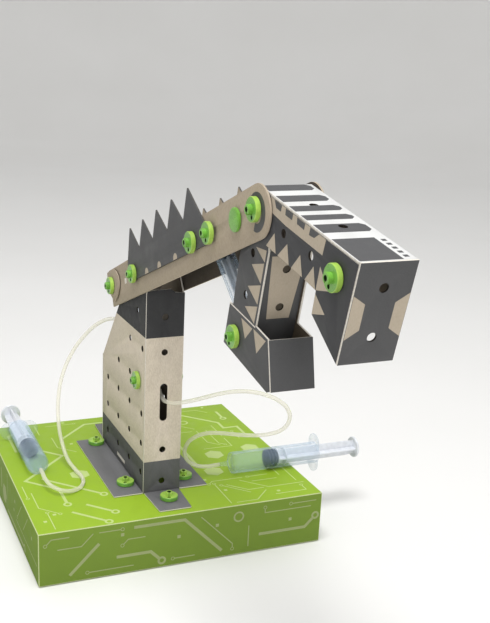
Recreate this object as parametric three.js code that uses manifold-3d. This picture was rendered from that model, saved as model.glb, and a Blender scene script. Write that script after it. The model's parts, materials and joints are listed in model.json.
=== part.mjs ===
// A card robot arm worked by air syringes, standing on its carton.
// Millimetres, +Z up, +X forward (towards the jaws), origin at the middle of the carton's underside.
import * as THREE from 'three';
import { mergeVertices } from 'three/addons/utils/BufferGeometryUtils.js';
import Module from 'manifold-3d';

const wasm = await Module();
wasm.setup();

// ---------- driving dimensions ----------
const GAP = 0.3; // between pieces that touch
const CARD = 1.5; // card thickness
const HOLE_R = 3; // punched hole
const STEM_R = 2.5; // rivet and pin stems
const CARTON = { length: 254, width: 282, height: 53, wall: 1.5, skirtLift: 1, trayFit: 0.8, trayDrop: 5 };
const TOWER = { frontX: 78, centreY: -9, depth: 140, width: 37, frontTop: 251, backTop: 152 };
const ARM = { pivotX: -26, pivotZ: 265, tilt: 21.8, inner: 19.1, top: 16.5, bottom: -20.5 };
const ARM_TAIL = -88;
const PIN_TAIL = -75;
const PIN_JAW_CYLINDER = 155;
const RIVET_SPINE = 192;
const RIVET_FLAT = 238;
const HEAD_PIVOT = 271;
const HEAD_TILT = 14.6;
const HEAD_OUTER = 18.6; // half widths across the arm
const JAW_OUTER = 16.6;
const SPINE_OUTER = 22.4;
const JAW_PIN = { x: -7.2, z: -102.3 };
const LIFT_PIN = { x: -21, z: 162.6 };
const CYLINDER = { outer: 7.8, bore: 6.6, end: 76, floor: 8, rodReach: 81 };
const HAND = { outer: 11, bore: 9.6, length: 96, nozzle: 12, endWall: 3, stopper: 13, drawn: 34 };
const HOSE_R = 2;
const CARTON_TOP = CARTON.height;
const rad = THREE.MathUtils.degToRad;

// ---------- materials ----------
const paint = (color, roughness, extra = {}) =>
  new THREE.MeshStandardMaterial({ color, roughness, metalness: 0, ...extra });
const kraft = paint(0xb5a895, 0.85);
const darkCard = paint(0x55565a, 0.75);
const greenCard = paint(0xa6c54d, 0.6);
const trayCard = paint(0x7c9a3e, 0.7);
const green = paint(0x6cc02f, 0.35);
const clear = paint(0xcfe6f2, 0.1, { transparent: true, opacity: 0.5 });
const white = paint(0xe6e8ea, 0.4);
const rubber = paint(0x2b2d30, 0.7);
const hoseClear = paint(0xeee9c8, 0.2, { transparent: true, opacity: 0.7 });

// ---------- solids ----------
function toSolid(geometry) {
  const bare = geometry.clone();
  bare.deleteAttribute('normal');
  bare.deleteAttribute('uv');
  const merged = mergeVertices(bare, 1e-4);
  return new wasm.Manifold(new wasm.Mesh({
    numProp: 3,
    vertProperties: new Float32Array(merged.attributes.position.array),
    triVerts: new Uint32Array(merged.index.array),
  }));
}

function fromSolid(solid) {
  const mesh = solid.getMesh();
  const geometry = new THREE.BufferGeometry();
  geometry.setAttribute('position', new THREE.BufferAttribute(new Float32Array(mesh.vertProperties), 3));
  geometry.setIndex(new THREE.BufferAttribute(new Uint32Array(mesh.triVerts), 1));
  geometry.computeVertexNormals();
  return geometry;
}

const join = (...parts) => fromSolid(parts.map(toSolid).reduce((sum, part) => sum.add(part)));
const cut = (body, ...tools) =>
  fromSolid(tools.map(toSolid).reduce((left, tool) => left.subtract(tool), toSolid(body)));

const group = new THREE.Group();
function place(parent, name, geometry, material) {
  const mesh = new THREE.Mesh(geometry, material);
  mesh.name = name;
  parent.add(mesh);
  return mesh;
}

function frameAt(x, y, z, tiltUp = 0, parent = group) {
  const frame = new THREE.Group();
  frame.position.set(x, y, z);
  frame.rotation.y = -rad(tiltUp);
  parent.add(frame);
  return frame;
}

function box(x0, x1, y0, y1, z0, z1) {
  const geometry = new THREE.BoxGeometry(x1 - x0, y1 - y0, z1 - z0);
  return geometry.translate((x0 + x1) / 2, (y0 + y1) / 2, (z0 + z1) / 2);
}

function circleHole(x, z, radius = HOLE_R) {
  return new THREE.Path().absarc(x, z, radius, 0, Math.PI * 2, true);
}

// A shape through the points, counter-clockwise so that clockwise holes cut it.
function outline(points) {
  const corners = points.map(([x, z]) => new THREE.Vector2(x, z));
  if (THREE.ShapeUtils.isClockWise(corners)) corners.reverse();
  return new THREE.Shape(corners);
}

// A flat panel in the X-Z plane, from y = low to y = low + thickness.
function sidePanel(shape, low, thickness = CARD, curveSegments = 5) {
  const geometry = new THREE.ExtrudeGeometry(shape, { depth: thickness, bevelEnabled: false, curveSegments });
  return geometry.rotateX(Math.PI / 2).translate(0, low + thickness, 0);
}

// A flat panel in the Y-Z plane, from x = low to x = low + thickness.
function crossPanel(shape, low, thickness = CARD, curveSegments = 5) {
  const geometry = new THREE.ExtrudeGeometry(shape, { depth: thickness, bevelEnabled: false, curveSegments });
  return geometry.rotateX(Math.PI / 2).rotateZ(Math.PI / 2).translate(low, 0, 0);
}

// A solid of revolution about the Y axis from [radius, along] pairs.
function turned(profile, segments) {
  return new THREE.LatheGeometry(profile.map(([r, y]) => new THREE.Vector2(r, y)), segments);
}

// The two sides of the arm: -1 is the near side (towards -Y), +1 the far side.
const SIDES = [['near', -1], ['far', 1]];
const panelLow = (side, outer, thickness = CARD) => (side < 0 ? -outer : outer - thickness);

// ---------- rivets and pins ----------
const DISC_R = 8.6;
const DISC_H = 3.8;
const FLAT_H = 2.8; // the disc without a boss
const BOSS_R = 3.6;
const BOSS_H = 3.2;
const RIVET_SEGMENTS = 12;
const CLIP_R = 3.6;
const CLIP_H = 1.3;
const FOOT_GRIP = 4;

// A snap rivet along +Y: its disc sits on y = 0 and its stem reaches `grip` behind that.
function rivet(grip, withBoss = true) {
  const bossed = [[DISC_R, DISC_H], [BOSS_R, DISC_H], [BOSS_R, DISC_H + BOSS_H], [0, DISC_H + BOSS_H]];
  const flat = [[DISC_R, FLAT_H], [0, FLAT_H]];
  return turned([
    [0, -grip - CLIP_H], [CLIP_R, -grip - CLIP_H], [CLIP_R, -grip], [STEM_R, -grip], [STEM_R, 0],
    [DISC_R, 0], ...(withBoss ? bossed : flat),
  ], RIVET_SEGMENTS);
}

// A pin right across the arm, with a disc at both ends, `seat` from the middle plane.
function crossPin(seat) {
  const tip = seat + DISC_H + BOSS_H;
  const disc = [[STEM_R, seat], [DISC_R, seat], [DISC_R, seat + DISC_H]];
  const half = [...disc, [BOSS_R, seat + DISC_H], [BOSS_R, tip]];
  const mirrored = half.map(([r, y]) => [r, -y]).reverse();
  return turned([[0, -tip], ...mirrored, ...half, [0, tip]], RIVET_SEGMENTS);
}

function sideRivets(frame, label, x, z, seat, stemEnd, withBoss = true) {
  for (const [sideName, side] of SIDES) {
    const geometry = rivet(seat - stemEnd, withBoss);
    if (side < 0) geometry.rotateX(Math.PI);
    const mesh = place(frame, `${label}_${sideName}`, geometry, green);
    mesh.position.set(x, side * seat, z);
  }
}

function addCrossPin(frame, name, x, z, seat) {
  place(frame, name, crossPin(seat), green).position.set(x, 0, z);
}

// ---------- carton ----------
const FOOT_RIVETS = [
  ['near_front', -24, -29], ['near_back', -129, -29], ['far_front', -22, 31],
  ['far_back', -127, 31], ['front', 19, 1],
];

function buildCarton() {
  const { length, width, height, wall, skirtLift, trayFit, trayDrop } = CARTON;
  const shell = box(-length / 2, length / 2, -width / 2, width / 2, skirtLift, height);
  const hollow = box(
    -length / 2 + wall, length / 2 - wall, -width / 2 + wall, width / 2 - wall, skirtLift - 1, height - wall,
  );
  const holes = FOOT_RIVETS.map(([, x, y]) => {
    const drill = new THREE.CylinderGeometry(HOLE_R, HOLE_R, 8, 8).rotateX(Math.PI / 2);
    return drill.translate(TOWER.frontX + x, TOWER.centreY + y, height);
  });
  place(group, 'carton_lid', cut(shell, hollow, ...holes), greenCard);

  const inset = wall + trayFit;
  const trayTop = height - wall - trayDrop;
  const trayBox = (margin, low, high) =>
    box(-length / 2 + margin, length / 2 - margin, -width / 2 + margin, width / 2 - margin, low, high);
  const tray = cut(trayBox(inset, 0, trayTop), trayBox(inset + wall, wall, trayTop + 1));
  place(group, 'carton_tray', tray, trayCard);
}

// ---------- tower ----------
const tower = frameAt(TOWER.frontX, TOWER.centreY, 0);
const foot = CARTON_TOP + GAP;
const EAR_R = 15;

const GRID_X = [-121, -84, -47, -10];
const GRID_Z = [72.5, 102.5, 132.5, 163, 197];
const UNDER_PIVOT_Z = 230;
const SIDE_HOLES = [
  [0, 0], [1, 0], [2, 0], [3, 0], [0, 1], [1, 1], [2, 1], [3, 1], [0, 2], [1, 2], [2, 2], [3, 2],
  [1, 3], [2, 3], [2, 4], [3, 4],
];

function buildTower() {
  const half = TOWER.width / 2;
  for (const [sideName, side] of SIDES) {
    const shape = new THREE.Shape();
    shape.moveTo(-CARD - GAP, foot);
    shape.lineTo(-CARD - GAP, TOWER.frontTop);
    shape.absarc(ARM.pivotX, ARM.pivotZ, EAR_R, rad(-5), rad(200), false);
    shape.lineTo(-84, 221);
    shape.lineTo(-TOWER.depth, TOWER.backTop);
    shape.lineTo(-TOWER.depth, foot);
    shape.closePath();
    shape.holes = SIDE_HOLES.map(([column, row]) => circleHole(GRID_X[column], GRID_Z[row]));
    shape.holes.push(circleHole(ARM.pivotX, ARM.pivotZ), circleHole(ARM.pivotX, UNDER_PIVOT_Z));
    shape.holes.push(circleHole(LIFT_PIN.x, LIFT_PIN.z));
    place(tower, `tower_${sideName}_panel`, sidePanel(shape, panelLow(side, half), CARD, 3), kraft);
  }

  const lip = 255;
  const front = outline([
    [-half, foot], [half, foot], [half, TOWER.frontTop], [9, TOWER.frontTop + 1], [5, lip],
    [-9, lip], [-14, TOWER.frontTop + 1], [-half, TOWER.frontTop],
  ]);
  const slot = new THREE.Path();
  slot.absarc(0, 160.5, 3.6, 0, Math.PI, false);
  slot.absarc(0, 130.5, 3.6, Math.PI, Math.PI * 2, false);
  front.holes = [slot, ...[65, 97.5, 195, 229].map((z) => circleHole(0, z))];
  place(tower, 'tower_front_panel', crossPanel(front, -CARD), kraft);

  const back = outline([[-half, foot], [half, foot], [half, TOWER.backTop], [-half, TOWER.backTop]]);
  place(tower, 'tower_back_panel', crossPanel(back, -TOWER.depth - GAP - CARD), kraft);
}

const FLAP_REACH = { side: 29, front: 41, back: 40 };
function flap(points, rivets) {
  const shape = outline(points);
  shape.holes = rivets.map(([x, y]) => circleHole(x, y));
  return new THREE.ExtrudeGeometry(shape, { depth: CARD - GAP, bevelEnabled: false, curveSegments: 4 })
    .translate(0, 0, foot);
}

function buildFootFlaps() {
  const half = TOWER.width / 2 + GAP;
  const spots = Object.fromEntries(FOOT_RIVETS.map(([name, x, y]) => [name, [x, y]]));
  const sideFlap = (side) => [
    [0, side * half], [0, side * (half + FLAP_REACH.side)],
    [-TOWER.depth - 2, side * (half + FLAP_REACH.side)], [-TOWER.depth - 2, side * half],
  ];
  const endFlap = (from, to) => [[from, -half + 1], [to, -half + 3], [to, half - 3], [from, half - 1]];
  const behind = -TOWER.depth - CARD - GAP * 2;
  place(tower, 'foot_flap_near', flap(sideFlap(-1), [spots.near_front, spots.near_back]), darkCard);
  place(tower, 'foot_flap_far', flap(sideFlap(1), [spots.far_front, spots.far_back]), darkCard);
  place(tower, 'foot_flap_front', flap(endFlap(GAP, FLAP_REACH.front), [spots.front]), darkCard);
  place(tower, 'foot_flap_back', flap(endFlap(behind, behind - FLAP_REACH.back), []), darkCard);
  for (const [name, x, y] of FOOT_RIVETS) {
    const mesh = place(tower, `foot_rivet_${name}`, rivet(FOOT_GRIP).rotateX(Math.PI / 2), green);
    mesh.position.set(x, y, foot + CARD);
  }
  addCrossPin(tower, 'lift_pin', LIFT_PIN.x, LIFT_PIN.z, TOWER.width / 2 + GAP);
}

// ---------- arm ----------
const arm = frameAt(ARM.pivotX, 0, ARM.pivotZ, ARM.tilt, tower);
const ARM_OUTER = ARM.inner + CARD;
const SPINE_SEAT = SPINE_OUTER + GAP;
const ARM_SEAT = ARM_OUTER + GAP;

function armOutline() {
  const endX = 273;
  const radius = (ARM.top - ARM.bottom) / 2;
  const middle = (ARM.top + ARM.bottom) / 2;
  const shape = new THREE.Shape();
  shape.moveTo(ARM_TAIL, ARM.top);
  shape.lineTo(ARM_TAIL + 4, ARM.bottom);
  shape.lineTo(endX, ARM.bottom);
  shape.absarc(endX, middle, radius, -Math.PI / 2, Math.PI / 2, false);
  shape.closePath();
  return shape;
}

function spineOutline() {
  const pitch = 38.8;
  const tips = [0, 1, 2, 3, 4].map((i) => i * pitch);
  const points = [[-11, -5.5], [-17, 12], [tips[0], 42.5]];
  for (const tip of tips.slice(1)) points.push([tip - pitch * 0.43, 19.5], [tip, 42.5]);
  points.push([181, 11], [190, -7]);
  return outline(points);
}

function buildArm() {
  for (const [sideName, side] of SIDES) {
    const panel = armOutline();
    const holes = [PIN_TAIL, 0, PIN_JAW_CYLINDER, RIVET_SPINE, RIVET_FLAT, HEAD_PIVOT];
    panel.holes = holes.map((x) => circleHole(x, 0));
    place(arm, `arm_${sideName}_panel`, sidePanel(panel, panelLow(side, ARM_OUTER)), kraft);
    const spine = spineOutline();
    spine.holes = [0, PIN_JAW_CYLINDER].map((x) => circleHole(x, 0));
    place(arm, `spine_${sideName}_plate`, sidePanel(spine, panelLow(side, SPINE_OUTER)), darkCard);
  }

  const webHalf = ARM.inner - GAP;
  const webDrop = 0.2; // below the panels' top edges
  const webTop = ARM.top - webDrop;
  place(arm, 'arm_rear_web', box(20, 104, -webHalf, webHalf, webTop - CARD, webTop), kraft);
  place(arm, 'arm_front_web', box(168, 236, -webHalf, webHalf, webTop - CARD, webTop), kraft);

  const wrapSheet = 1;
  const wrapX = ARM_TAIL - GAP - wrapSheet;
  const wrapOuter = SPINE_OUTER;
  const tabHoles = (side) => {
    const tab = new THREE.Shape();
    tab.moveTo(wrapX, 15);
    tab.lineTo(wrapX + 0.6, -5);
    tab.lineTo(-72, -17);
    tab.quadraticCurveTo(-32, 0, -66, 15);
    tab.closePath();
    tab.holes = [circleHole(PIN_TAIL, 0)];
    return sidePanel(tab, side < 0 ? -wrapOuter : wrapOuter - wrapSheet, wrapSheet);
  };
  const cap = box(wrapX, wrapX + wrapSheet, -wrapOuter + 0.1, wrapOuter - 0.1, -4, 14.5);
  place(arm, 'tail_wrap', join(cap, tabHoles(-1), tabHoles(1)), kraft);

  addCrossPin(arm, 'tail_pin', PIN_TAIL, 0, SPINE_SEAT);
  addCrossPin(arm, 'jaw_cylinder_pin', PIN_JAW_CYLINDER, 0, SPINE_SEAT);
  sideRivets(arm, 'pivot_rivet', 0, 0, SPINE_SEAT, TOWER.width / 2 - CARD - GAP);
  sideRivets(arm, 'spine_rivet', RIVET_SPINE, 0, SPINE_SEAT, ARM.inner - GAP);
  sideRivets(arm, 'flat_rivet', RIVET_FLAT, 0, ARM_SEAT, ARM.inner - GAP, false);
  sideRivets(arm, 'head_pivot_rivet', HEAD_PIVOT, 0, ARM_SEAT, JAW_OUTER - CARD - GAP);
}

// ---------- head and jaw share one frame on the head pivot ----------
const headPlace = new THREE.Vector2(HEAD_PIVOT, 0).rotateAround(new THREE.Vector2(), rad(ARM.tilt));
const head = frameAt(ARM.pivotX + headPlace.x, 0, ARM.pivotZ + headPlace.y, -HEAD_TILT, tower);
const HEAD_LENGTH = 129;
const HEAD_SIDE_RIVET = { x: 108.5, z: 6 };
const HEAD_TOP_HOLES = [37, 75, 110];

function buildHead() {
  const frontX = HEAD_LENGTH - CARD - GAP;
  const topAt = (x) => 15.5 + (x + 3) * 0.075;
  for (const [sideName, side] of SIDES) {
    const shape = new THREE.Shape();
    shape.moveTo(-3, topAt(-3) - CARD - GAP);
    shape.absarc(0, 0, 13.5, rad(103), rad(262), false);
    shape.lineTo(18.4, -17.6);
    shape.lineTo(74, -13.4);
    shape.lineTo(89.5, -12.7);
    shape.lineTo(90.3, -28.2);
    shape.lineTo(frontX, -40.5);
    shape.lineTo(frontX, topAt(frontX) - CARD - GAP);
    shape.closePath();
    const rivetHole = circleHole(HEAD_SIDE_RIVET.x, HEAD_SIDE_RIVET.z);
    shape.holes = [circleHole(0, 0), circleHole(38.6, 0.5), circleHole(76, 3.5), rivetHole];
    place(head, `head_${sideName}_panel`, sidePanel(shape, panelLow(side, HEAD_OUTER)), darkCard);
  }

  const top = outline([
    [-3, topAt(-3) - CARD], [frontX, topAt(frontX) - CARD], [frontX, topAt(frontX)], [-3, topAt(-3)],
  ]);
  const drills = HEAD_TOP_HOLES.map((x) =>
    new THREE.CylinderGeometry(HOLE_R, HOLE_R, 8, 10).rotateX(Math.PI / 2).translate(x, 0, topAt(x)));
  const topPanel = sidePanel(top, -HEAD_OUTER, HEAD_OUTER * 2);
  place(head, 'head_top_panel', cut(topPanel, ...drills), darkCard);

  const frontTop = topAt(HEAD_LENGTH);
  const front = outline([
    [-HEAD_OUTER, -40.5], [HEAD_OUTER, -40.5], [HEAD_OUTER, frontTop], [-HEAD_OUTER, frontTop],
  ]);
  front.holes = [circleHole(0, 9), circleHole(0, -23)];
  place(head, 'head_front_panel', crossPanel(front, frontX + GAP), darkCard);
  const { x, z } = HEAD_SIDE_RIVET;
  sideRivets(head, 'head_side_rivet', x, z, HEAD_OUTER + GAP, HEAD_OUTER - CARD - GAP);
}

const LEG_WEB_HOLES = [-36, -65];
const BUCKET = { back: -24.5, web: 18.5, topFront: 42, bottomFront: 58, top: -76.5, bottomZ: -108 };

function buildJaw() {
  const frontInset = CARD + GAP;
  for (const [sideName, side] of SIDES) {
    const shape = new THREE.Shape();
    shape.moveTo(19.6, -22);
    shape.absarc(0, 0, 14, rad(-20), rad(200), false);
    shape.lineTo(-21.5, -44);
    shape.lineTo(-19, -82);
    shape.lineTo(BUCKET.back, -84);
    shape.lineTo(BUCKET.back, -117.5);
    shape.lineTo(BUCKET.bottomFront - 6, -111.5);
    shape.lineTo(BUCKET.bottomFront - frontInset, BUCKET.bottomZ);
    shape.lineTo(BUCKET.topFront - frontInset, BUCKET.top);
    shape.lineTo(20.2, -78);
    shape.closePath();
    const pinHole = circleHole(JAW_PIN.x, JAW_PIN.z);
    shape.holes = [circleHole(0, 0), circleHole(-2, -33), circleHole(-2.5, -65.7), pinHole];
    place(head, `jaw_${sideName}_panel`, sidePanel(shape, panelLow(side, JAW_OUTER)), darkCard);
  }

  const inside = JAW_OUTER - CARD - GAP;
  const web = outline([[-inside, -110.5], [inside, -110.5], [inside, -22], [-inside, -22]]);
  web.holes = LEG_WEB_HOLES.map((z) => circleHole(0, z));
  place(head, 'jaw_leg_web', crossPanel(web, BUCKET.web - CARD), darkCard);

  const floorAt = (x) => -117.2 + (x - BUCKET.back) * 0.078;
  const floorEnd = BUCKET.bottomFront - 8;
  const floor = outline([
    [BUCKET.back, floorAt(BUCKET.back)], [floorEnd, floorAt(floorEnd)],
    [floorEnd, floorAt(floorEnd) + CARD], [BUCKET.back, floorAt(BUCKET.back) + CARD],
  ]);
  place(head, 'jaw_bucket_floor', sidePanel(floor, -inside, inside * 2), darkCard);

  const front = outline([
    [BUCKET.topFront - CARD, BUCKET.top], [BUCKET.topFront, BUCKET.top],
    [BUCKET.bottomFront, BUCKET.bottomZ], [BUCKET.bottomFront - CARD, BUCKET.bottomZ],
  ]);
  place(head, 'jaw_bucket_front', sidePanel(front, -JAW_OUTER, JAW_OUTER * 2), darkCard);
  addCrossPin(head, 'jaw_pin', JAW_PIN.x, JAW_PIN.z, JAW_OUTER + GAP);
}

// ---------- working cylinders ----------
// Along +X from the pin in the closed end to the rod eye, `length` away at rest.
function buildCylinder(label, frame, length) {
  const { outer, bore, end, floor, rodReach } = CYLINDER;
  const tube = turned([
    [0, -12], [2, -12], [2.3, -6.6], [outer - 1.5, -6.6], [outer, -5],
    [outer, end], [bore, end], [bore, floor], [0, floor],
  ], 16).rotateZ(-Math.PI / 2);
  const flange = box(end - 2.5, end, -13, 13, -outer, outer);
  const throat = new THREE.CylinderGeometry(bore, bore, 12, 16).rotateZ(Math.PI / 2).translate(end, 0, 0);
  const pinHole = new THREE.CylinderGeometry(HOLE_R, HOLE_R, 30, 10);
  const barrel = cut(join(tube, flange), throat, pinHole);
  place(frame, `${label}_cylinder_barrel`, barrel, clear);

  const pistonFace = length - rodReach;
  const pistonLength = 8;
  const radius = bore - GAP;
  place(frame, `${label}_cylinder_piston`, turned([
    [0, pistonFace], [radius, pistonFace],
    [radius, pistonFace + pistonLength], [0, pistonFace + pistonLength],
  ], 12).rotateZ(-Math.PI / 2), rubber);

  const rodStart = pistonFace + pistonLength + GAP;
  const eyeR = 8.5;
  const eyeBore = 5.6;
  const eyeWidth = 8;
  const vane = 4.6; // half width of the rod's crossed vanes
  const rodEnd = length - eyeR + 1;
  const vanes = join(box(rodStart, rodEnd, -vane, vane, -1, 1), box(rodStart, rodEnd, -1, 1, -vane, vane));
  const eye = new THREE.CylinderGeometry(eyeR, eyeR, eyeWidth, 16).translate(length, 0, 0);
  const eyeHole = new THREE.CylinderGeometry(eyeBore, eyeBore, eyeWidth + 4, 12).translate(length, 0, 0);
  place(frame, `${label}_cylinder_rod`, cut(join(vanes, eye), eyeHole), white);
}

// Places one cylinder between a fixed pin and the pin that its rod pushes, both in the tower frame.
function spanCylinder(label, from, to) {
  const reach = Math.hypot(to.x - from.x, to.z - from.z);
  const angle = THREE.MathUtils.radToDeg(Math.atan2(to.z - from.z, to.x - from.x));
  buildCylinder(label, frameAt(from.x, 0, from.z, angle, tower), reach);
}

function inTower(origin, tilt, x, z) {
  const turn = rad(tilt);
  return {
    x: origin.x + x * Math.cos(turn) - z * Math.sin(turn),
    z: origin.z + x * Math.sin(turn) + z * Math.cos(turn),
  };
}

const pivot = { x: ARM.pivotX, z: ARM.pivotZ };
const headOrigin = inTower(pivot, ARM.tilt, HEAD_PIVOT, 0);

// ---------- hand syringes ----------
// Along +X from the nozzle tip, lying at the height of its barrel's radius.
function buildHandSyringe(label, frame) {
  const { outer, bore, length, nozzle, endWall, stopper, drawn } = HAND;
  const tube = turned([
    [0, 0], [2, 0], [2.6, nozzle - 3], [6, nozzle], [outer - 1.2, nozzle], [outer, nozzle + 1.5],
    [outer, nozzle + length], [bore, nozzle + length], [bore, nozzle + endWall], [0, nozzle + endWall],
  ], 20).rotateZ(-Math.PI / 2);
  const flangeShape = new THREE.Shape();
  flangeShape.absarc(0, 10.5, 9.8, 0, Math.PI, false);
  flangeShape.absarc(0, -10.5, 9.8, Math.PI, Math.PI * 2, false);
  flangeShape.closePath();
  const flangeAt = nozzle + length - 3;
  const flange = crossPanel(flangeShape, flangeAt, 2.4);
  const throat = new THREE.CylinderGeometry(bore, bore, 20, 20).rotateZ(Math.PI / 2)
    .translate(nozzle + length, 0, 0);
  const barrel = cut(join(tube, flange), throat);
  place(frame, `${label}_hand_barrel`, barrel, clear);

  const face = nozzle + endWall + drawn;
  const radius = bore - GAP;
  place(frame, `${label}_hand_piston`, turned([
    [0, face], [radius, face + 2], [radius, face + stopper], [0, face + stopper],
  ], 16).rotateZ(-Math.PI / 2), rubber);

  const rodStart = face + stopper + GAP;
  const thumb = face + length + 8;
  const vane = bore - 1.6;
  const vanes = join(
    box(rodStart, thumb, -vane, vane, -0.8, 0.8), box(rodStart, thumb, -0.8, 0.8, -vane, vane),
  );
  const plate = new THREE.CylinderGeometry(HAND.outer, HAND.outer, 2.5, 20).rotateZ(Math.PI / 2);
  place(frame, `${label}_hand_plunger`, join(vanes, plate.translate(thumb + 1, 0, 0)), white);
}

const SYRINGE_Z = CARTON_TOP + HAND.outer + GAP;
const RIGHT_TIP = { x: 59, y: 60 };
const LEFT_TIP = { x: 18, y: -114 };

// ---------- hoses ----------
// Hand-picked route points, x y z.
const RIGHT_HOSE = [
  [65.9, -9, 153.7], [70.5, -9, 150.2], [77, -8.9, 148], [83.5, -6.3, 147.4], [88.6, -0.5, 147.8],
  [91.6, 8, 149.2], [93.3, 18, 151], [94.5, 28, 153], [95, 39, 154.8], [95.8, 51, 156],
  [97.2, 63, 156], [99.5, 75.5, 154.5], [102.5, 87.5, 151], [105.5, 98.5, 145.5], [107.5, 107.5, 136.5],
  [106, 110.5, 124.5], [101, 106, 113.5], [94.5, 97, 107.5], [88, 86, 104.5], [81.5, 75, 103.5],
  [74.5, 64.5, 103], [67, 54, 102.5], [60, 43.5, 100.5], [54, 33.5, 95], [50, 26.5, 85.5],
  [50.5, 26, 73], [54, 34.5, 65], [58, 47, 63.5], [59, 54, 64.2], [59, 59.6, 64.3],
];
const LEFT_HOSE = [
  [52, -20.5, 265], [41, -20.5, 251], [31, -20.5, 236], [20.5, -20.5, 221], [10, -20.8, 211],
  [-3, -21, 204], [-18, -22, 200], [-34, -26, 198], [-50, -35, 190], [-61, -48, 174], [-63, -62, 154],
  [-58, -73, 133], [-48, -80, 111], [-35, -83, 90], [-20, -83, 73], [-4, -81, 61], [12, -77, 56],
  [28, -75, 55.4], [43, -78, 55.4], [54, -87, 55.6], [58, -99, 57.5], [51, -110, 60.6],
  [38, -114, 63.2], [26, -114, 64.2], [18.4, -114, 64.3],
];
const ARM_HOSE = [
  [143, 0, 19.6], [137, -0.8, 22.6], [129, -2.5, 23], [120, -5, 19.5], [111, -8, 14], [100, -10, 9.5],
  [80, -11.5, 8], [50, -11.5, 8], [24, -11.5, 7], [9, -11.5, 3.6], [1.2, -11.5, 0.5],
];

function hose(points, steps) {
  const route = new THREE.CatmullRomCurve3(points.map(([x, y, z]) => new THREE.Vector3(x, y, z)));
  const section = new THREE.Shape();
  section.absarc(0, 0, HOSE_R, 0, Math.PI * 2, false);
  const options = { extrudePath: route, steps, curveSegments: 4, bevelEnabled: false };
  return new THREE.ExtrudeGeometry(section, options);
}

// ---------- assembly ----------
buildCarton();
buildTower();
buildFootFlaps();
buildArm();
buildHead();
buildJaw();
spanCylinder('lift', LIFT_PIN, inTower(pivot, ARM.tilt, PIN_TAIL, 0));
const jawCylinderPin = inTower(pivot, ARM.tilt, PIN_JAW_CYLINDER, 0);
spanCylinder('jaw', jawCylinderPin, inTower(headOrigin, -HEAD_TILT, JAW_PIN.x, JAW_PIN.z));

const rightHand = frameAt(RIGHT_TIP.x, RIGHT_TIP.y, SYRINGE_Z);
rightHand.rotation.set(0, 0, Math.PI / 2);
buildHandSyringe('right', rightHand);
const leftHand = frameAt(LEFT_TIP.x, LEFT_TIP.y, SYRINGE_Z);
leftHand.rotation.set(Math.PI / 2, 0, Math.PI);
buildHandSyringe('left', leftHand);

place(group, 'right_hose', hose(RIGHT_HOSE, 60), hoseClear);
place(group, 'left_hose', hose(LEFT_HOSE, 56), hoseClear);
place(arm, 'arm_hose', hose(ARM_HOSE, 24), hoseClear);

export default group;
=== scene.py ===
import json
import math
import random

import bmesh
import bpy
from mathutils import Matrix, Vector


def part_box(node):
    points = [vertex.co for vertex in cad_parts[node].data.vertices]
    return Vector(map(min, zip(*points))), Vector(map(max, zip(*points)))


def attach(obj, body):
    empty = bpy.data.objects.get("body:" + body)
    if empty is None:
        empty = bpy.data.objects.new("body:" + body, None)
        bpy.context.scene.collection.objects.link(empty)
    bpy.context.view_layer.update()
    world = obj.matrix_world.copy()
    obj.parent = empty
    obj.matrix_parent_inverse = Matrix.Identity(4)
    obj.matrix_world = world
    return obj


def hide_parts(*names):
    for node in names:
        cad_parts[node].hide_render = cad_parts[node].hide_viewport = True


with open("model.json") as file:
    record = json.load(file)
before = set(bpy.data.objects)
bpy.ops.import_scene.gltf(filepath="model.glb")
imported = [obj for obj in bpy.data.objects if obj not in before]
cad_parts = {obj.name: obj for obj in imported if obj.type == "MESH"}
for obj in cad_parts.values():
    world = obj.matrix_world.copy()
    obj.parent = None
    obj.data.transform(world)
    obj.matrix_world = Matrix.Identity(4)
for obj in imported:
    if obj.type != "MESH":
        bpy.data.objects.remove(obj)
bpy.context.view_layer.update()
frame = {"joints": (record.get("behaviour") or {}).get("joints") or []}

# ---------- driving dimensions, as in the part ----------
MM = 0.001
GAP = 0.3
CARD = 1.5
HOLE_R = 3.0
STEM_R = 2.5
CARTON_WALL = 1.5
CARTON_LIFT = 1.0
TOWER_FRONT = 78.0
TOWER_Y = -9.0
TOWER_DEPTH = 140.0
TOWER_WIDTH = 37.0
TOWER_TOP = 251.0
TOWER_BACK_TOP = 152.0
ARM_INNER = 19.1
ARM_OUTER = ARM_INNER + CARD
ARM_TOP = 16.5
ARM_BOTTOM = -20.5
ARM_TAIL = -88.0
PIN_TAIL = -75.0
PIN_JAW_CYLINDER = 155.0
RIVET_SPINE = 192.0
RIVET_FLAT = 238.0
HEAD_TILT = -14.6
HEAD_OUTER = 18.6
HEAD_LENGTH = 129.0
JAW_OUTER = 16.6
SPINE_OUTER = 22.4
JAW_PIN = (-7.2, -102.3)
LIFT_PIN = (-21.0, 162.6)
HEAD_SIDE_RIVET = (108.5, 6.0)
SIDES = (("near", -1), ("far", 1))
TOP_HOLES = (37, 75, 110)
WEB_HOLES = (-36, -65)
HAND_ROLL = {"right": 0, "left": 90}
IDENTITY = Matrix.Identity(4)
WORLD_LIGHT = 0.75
LIGHTS = (
    ("key", (0.5, -0.25, 2.0), 0.9, 26),
    ("front", (1.9, -0.3, 0.9), 1.2, 7),
)

joints = {joint["name"]: joint for joint in frame["joints"]}
arm_pivot = Vector(joints["arm_lift"]["pos_m"])
head_pivot = Vector(joints["jaw_grip"]["pos_m"])
HEAD_PIVOT = (head_pivot - arm_pivot).length / MM
ARM_TILT = math.degrees(math.atan2(head_pivot.z - arm_pivot.z, head_pivot.x - arm_pivot.x))
carton_low, carton_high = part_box("carton_lid")
CARTON_LENGTH = (carton_high.x - carton_low.x) / MM
CARTON_WIDTH = (carton_high.y - carton_low.y) / MM
CARTON_TOP = carton_high.z / MM


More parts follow.
